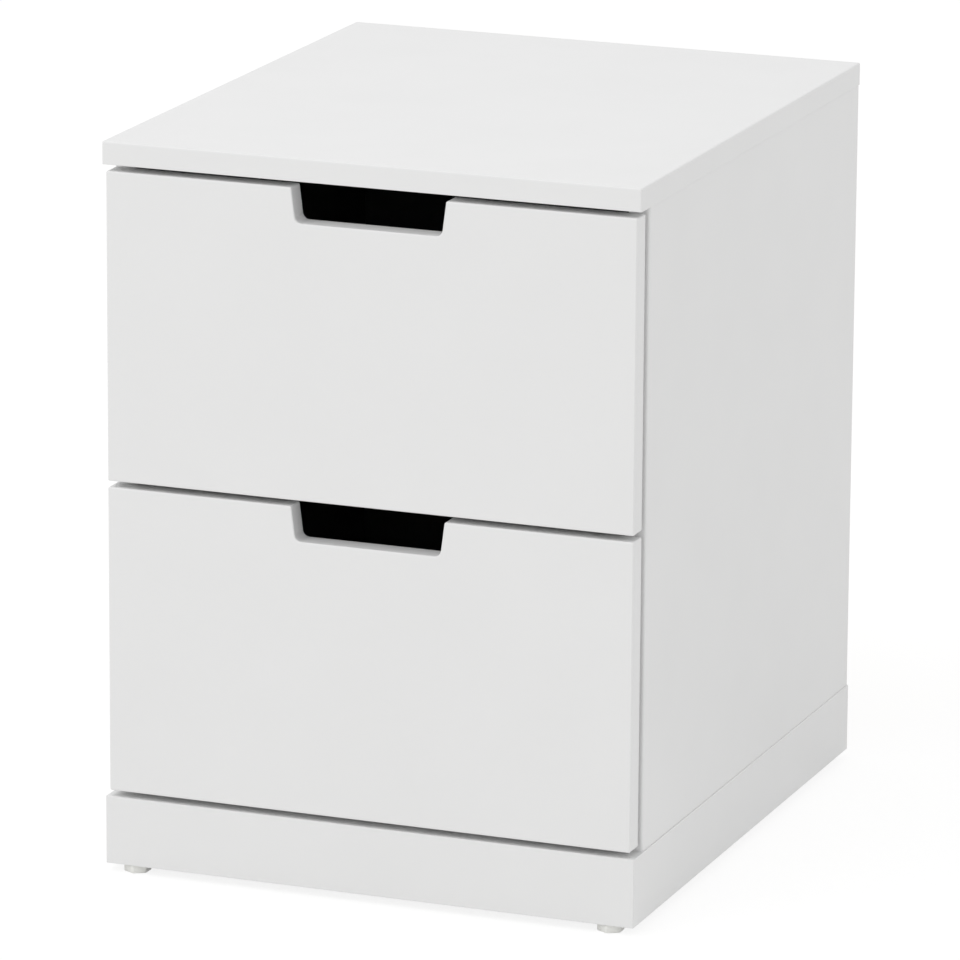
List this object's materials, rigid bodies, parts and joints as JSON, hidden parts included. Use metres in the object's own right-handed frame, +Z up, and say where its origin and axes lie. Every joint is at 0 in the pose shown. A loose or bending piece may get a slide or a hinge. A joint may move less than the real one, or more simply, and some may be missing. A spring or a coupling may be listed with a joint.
{
  "type": "chest of drawers",
  "caption": "White bedside chest with stacked flush drawers, finger notches in their top edges, a thin flat top, a plain plinth and low levelling feet",
  "frame": {"origin": "on the floor, under the middle of the chest's bounding box", "axes": "+X to the right seen from the front, -Y out of the drawer fronts, +Z up"},
  "size_m": [0.4, 0.47, 0.532],
  "materials": {
    "white_foil_board": "satin white foil on particleboard",
    "grey_foil_board": "matt dark grey foil on fibreboard",
    "hardboard": "raw pressed hardboard",
    "beech": "raw turned beech",
    "pine": "raw sawn pine",
    "white_coated_steel": "white epoxy coating on sheet steel",
    "zinc_plated_steel": "bright zinc plating",
    "white_nylon": "moulded white nylon"
  },
  "bodies": {
    "carcass": {"top_panel": "white_foil_board", "left_side_panel": "white_foil_board", "right_side_panel": "white_foil_board", "bottom_panel": "white_foil_board", "back_panel": "hardboard", "front_top_rail": "white_foil_board", "rear_top_rail": "white_foil_board", "plinth_front_board": "white_foil_board", "plinth_rear_board": "white_foil_board", "plinth_left_board": "white_foil_board", "plinth_right_board": "white_foil_board", "plinth_corner_blocks": "pine", "foot_sleeves": "zinc_plated_steel", "carcass_dowels": "beech", "carcass_cam_bolts": "zinc_plated_steel", "carcass_cam_locks": "zinc_plated_steel", "carcass_screws": "zinc_plated_steel", "back_panel_nails": "zinc_plated_steel", "upper_left_cabinet_runner": "white_coated_steel", "upper_right_cabinet_runner": "white_coated_steel", "lower_left_cabinet_runner": "white_coated_steel", "lower_right_cabinet_runner": "white_coated_steel", "cabinet_runner_screws": "zinc_plated_steel", "cabinet_roller_axles": "zinc_plated_steel"},
    "upper_left_cabinet_roller": {"upper_left_cabinet_roller": "white_nylon"},
    "upper_right_cabinet_roller": {"upper_right_cabinet_roller": "white_nylon"},
    "lower_left_cabinet_roller": {"lower_left_cabinet_roller": "white_nylon"},
    "lower_right_cabinet_roller": {"lower_right_cabinet_roller": "white_nylon"},
    "front_left_foot": {"front_left_foot": "white_nylon"},
    "front_right_foot": {"front_right_foot": "white_nylon"},
    "rear_left_foot": {"rear_left_foot": "white_nylon"},
    "rear_right_foot": {"rear_right_foot": "white_nylon"},
    "upper_drawer": {"upper_drawer_front": "white_foil_board", "upper_drawer_left_side": "grey_foil_board", "upper_drawer_right_side": "grey_foil_board", "upper_drawer_back": "grey_foil_board", "upper_drawer_bottom": "grey_foil_board", "upper_drawer_left_runner": "white_coated_steel", "upper_drawer_right_runner": "white_coated_steel", "upper_drawer_runner_screws": "zinc_plated_steel", "upper_drawer_roller_axles": "zinc_plated_steel", "upper_drawer_cam_bolts": "zinc_plated_steel", "upper_drawer_cam_locks": "zinc_plated_steel", "upper_drawer_box_screws": "zinc_plated_steel"},
    "upper_left_drawer_roller": {"upper_left_drawer_roller": "white_nylon"},
    "upper_right_drawer_roller": {"upper_right_drawer_roller": "white_nylon"},
    "lower_drawer": {"lower_drawer_front": "white_foil_board", "lower_drawer_left_side": "grey_foil_board", "lower_drawer_right_side": "grey_foil_board", "lower_drawer_back": "grey_foil_board", "lower_drawer_bottom": "grey_foil_board", "lower_drawer_left_runner": "white_coated_steel", "lower_drawer_right_runner": "white_coated_steel", "lower_drawer_runner_screws": "zinc_plated_steel", "lower_drawer_roller_axles": "zinc_plated_steel", "lower_drawer_cam_bolts": "zinc_plated_steel", "lower_drawer_cam_locks": "zinc_plated_steel", "lower_drawer_box_screws": "zinc_plated_steel"},
    "lower_left_drawer_roller": {"lower_left_drawer_roller": "white_nylon"},
    "lower_right_drawer_roller": {"lower_right_drawer_roller": "white_nylon"}
  },
  "joints": [
    {"name": "upper_drawer_slide", "type": "slide", "parent": "carcass", "child": "upper_drawer", "axis": [0, -1, 0], "range_m": [0, 0.265]},
    {"name": "lower_drawer_slide", "type": "slide", "parent": "carcass", "child": "lower_drawer", "axis": [0, -1, 0], "range_m": [0, 0.265]},
    {"name": "upper_left_cabinet_roller_turn", "type": "hinge", "parent": "carcass", "child": "upper_left_cabinet_roller", "pos_m": [-0.1776, -0.2005, 0.3215], "axis": [1, 0, 0], "continuous": true},
    {"name": "upper_left_drawer_roller_turn", "type": "hinge", "parent": "upper_drawer", "child": "upper_left_drawer_roller", "pos_m": [-0.177, 0.1218, 0.3183], "axis": [1, 0, 0], "continuous": true},
    {"name": "upper_right_cabinet_roller_turn", "type": "hinge", "parent": "carcass", "child": "upper_right_cabinet_roller", "pos_m": [0.1776, -0.2005, 0.3215], "axis": [1, 0, 0], "continuous": true},
    {"name": "upper_right_drawer_roller_turn", "type": "hinge", "parent": "upper_drawer", "child": "upper_right_drawer_roller", "pos_m": [0.177, 0.1218, 0.3183], "axis": [1, 0, 0], "continuous": true},
    {"name": "lower_left_cabinet_roller_turn", "type": "hinge", "parent": "carcass", "child": "lower_left_cabinet_roller", "pos_m": [-0.1776, -0.2005, 0.094], "axis": [1, 0, 0], "continuous": true},
    {"name": "lower_left_drawer_roller_turn", "type": "hinge", "parent": "lower_drawer", "child": "lower_left_drawer_roller", "pos_m": [-0.177, 0.1218, 0.0908], "axis": [1, 0, 0], "continuous": true},
    {"name": "lower_right_cabinet_roller_turn", "type": "hinge", "parent": "carcass", "child": "lower_right_cabinet_roller", "pos_m": [0.1776, -0.2005, 0.094], "axis": [1, 0, 0], "continuous": true},
    {"name": "lower_right_drawer_roller_turn", "type": "hinge", "parent": "lower_drawer", "child": "lower_right_drawer_roller", "pos_m": [0.177, 0.1218, 0.0908], "axis": [1, 0, 0], "continuous": true},
    {"name": "front_left_foot_screw", "type": "slide", "parent": "carcass", "child": "front_left_foot", "axis": [0, 0, -1], "range_m": [0, 0.01]},
    {"name": "front_right_foot_screw", "type": "slide", "parent": "carcass", "child": "front_right_foot", "axis": [0, 0, -1], "range_m": [0, 0.01]},
    {"name": "rear_left_foot_screw", "type": "slide", "parent": "carcass", "child": "rear_left_foot", "axis": [0, 0, -1], "range_m": [0, 0.01]},
    {"name": "rear_right_foot_screw", "type": "slide", "parent": "carcass", "child": "rear_right_foot", "axis": [0, 0, -1], "range_m": [0, 0.01]}
  ],
  "couplings": [
    {"joint": "upper_left_cabinet_roller_turn", "follows": "upper_drawer_slide", "rad_per_m": 125},
    {"joint": "upper_left_drawer_roller_turn", "follows": "upper_drawer_slide", "rad_per_m": 125},
    {"joint": "upper_right_cabinet_roller_turn", "follows": "upper_drawer_slide", "rad_per_m": 125},
    {"joint": "upper_right_drawer_roller_turn", "follows": "upper_drawer_slide", "rad_per_m": 125},
    {"joint": "lower_left_cabinet_roller_turn", "follows": "lower_drawer_slide", "rad_per_m": 125},
    {"joint": "lower_left_drawer_roller_turn", "follows": "lower_drawer_slide", "rad_per_m": 125},
    {"joint": "lower_right_cabinet_roller_turn", "follows": "lower_drawer_slide", "rad_per_m": 125},
    {"joint": "lower_right_drawer_roller_turn", "follows": "lower_drawer_slide", "rad_per_m": 125}
  ]
}
